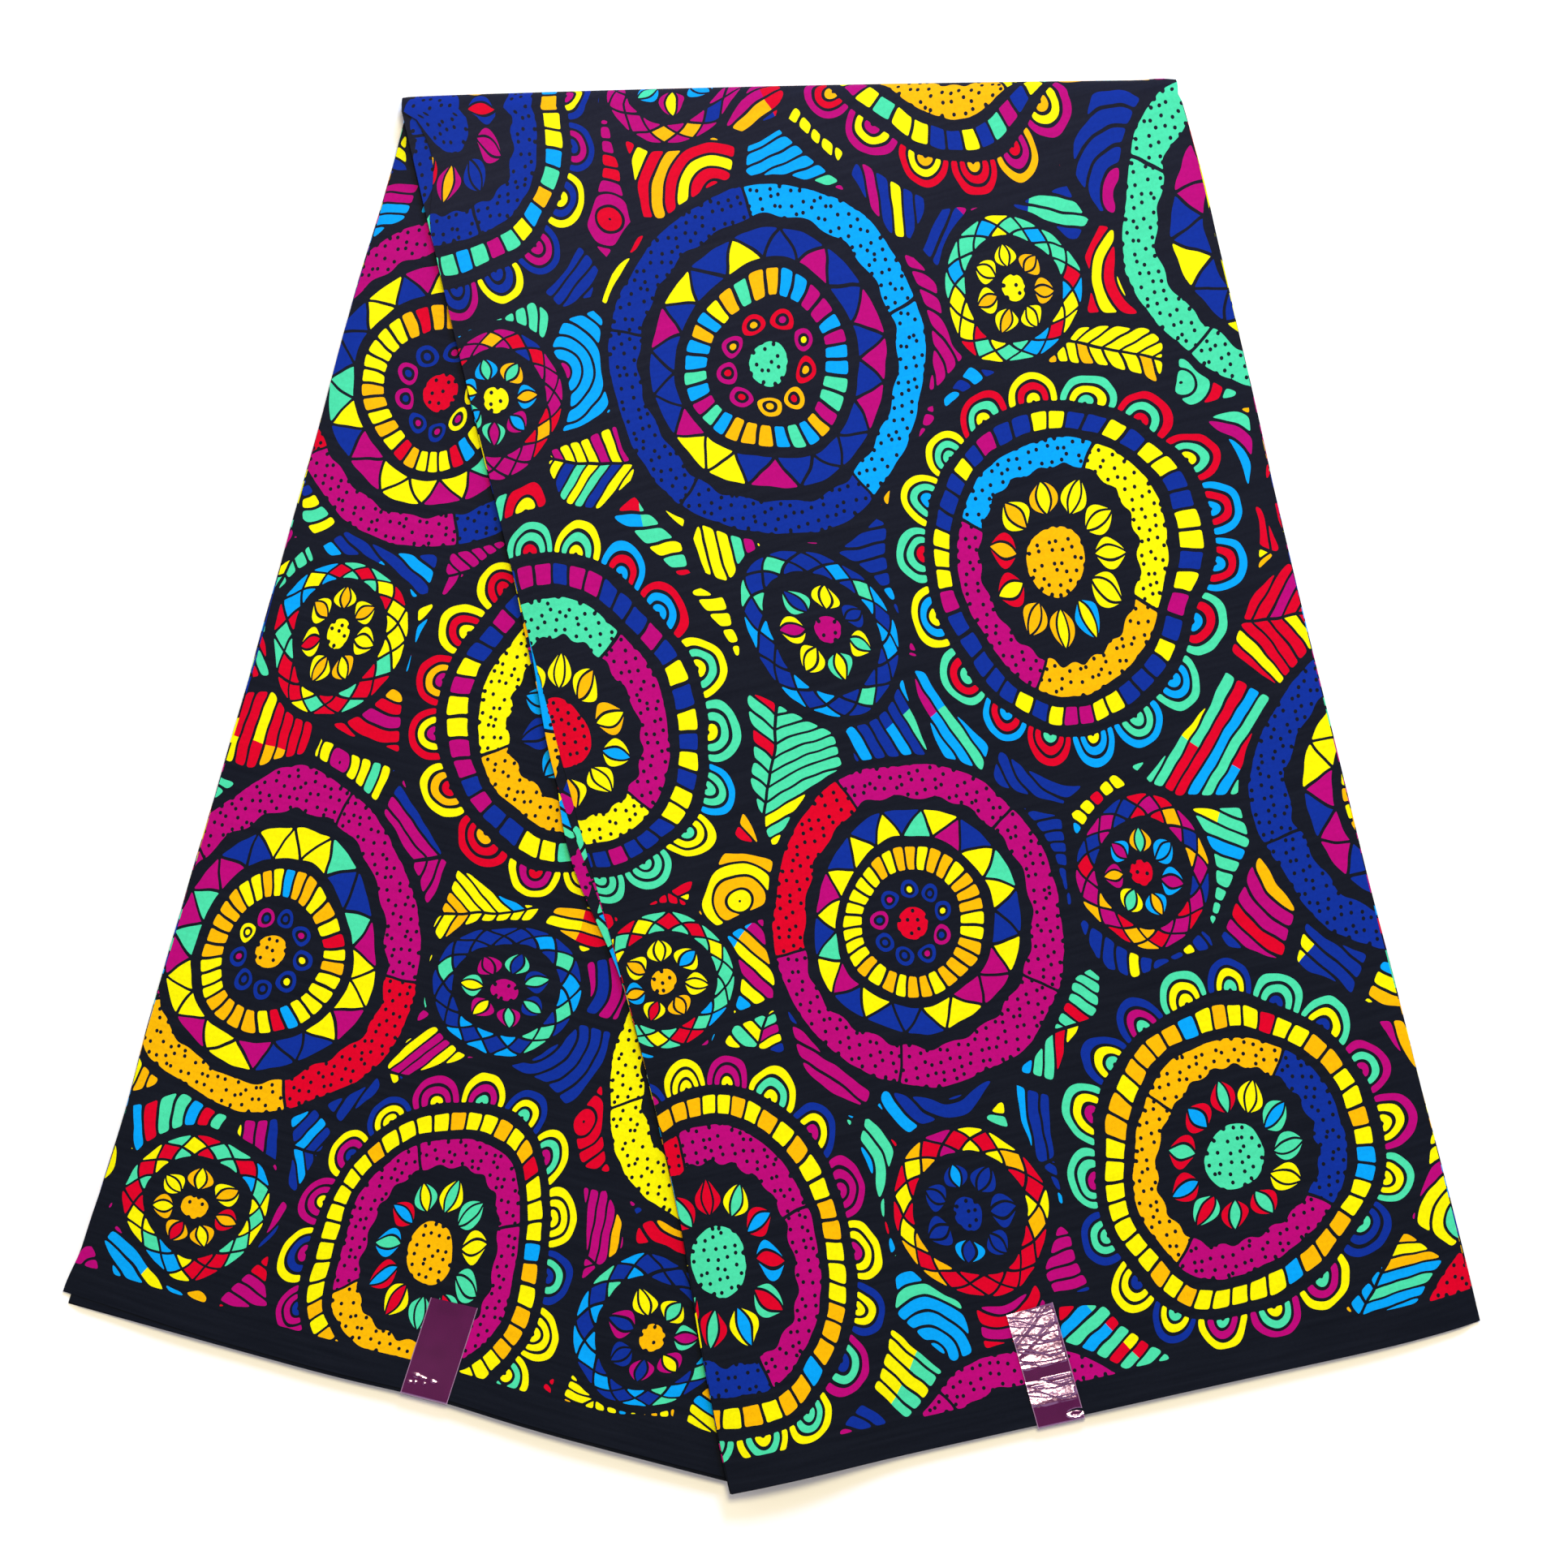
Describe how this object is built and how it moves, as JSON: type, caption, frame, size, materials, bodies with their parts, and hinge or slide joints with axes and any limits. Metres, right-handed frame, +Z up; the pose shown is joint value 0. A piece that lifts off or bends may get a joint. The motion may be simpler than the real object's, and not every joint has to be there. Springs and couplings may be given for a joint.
{
  "type": "folded printed cotton cloth",
  "caption": "Long printed cotton cloth, folded to a flat strip of many layers and doubled over so that its halves fan out, with film seals on the selvages.",
  "frame": {"origin": "on the surface that the cloth lies on, under the middle of its plan box", "axes": "+Z up through the folded layers, +Y from the selvages to the top fold, +X to the right of someone who looks down at it with the fold at the top"},
  "size_m": [0.6054, 0.6054, 0.0139],
  "materials": {
    "printed_cotton": "printed plain-weave cotton, matt with a faint sheen",
    "seal_film": "glossy dark purple film"
  },
  "bodies": {
    "root": {"outer_leaf": "printed_cotton", "hidden_layers": "printed_cotton", "inner_leaf": "printed_cotton", "seal_left": "seal_film", "seal_right": "seal_film"}
  },
  "joints": []
}
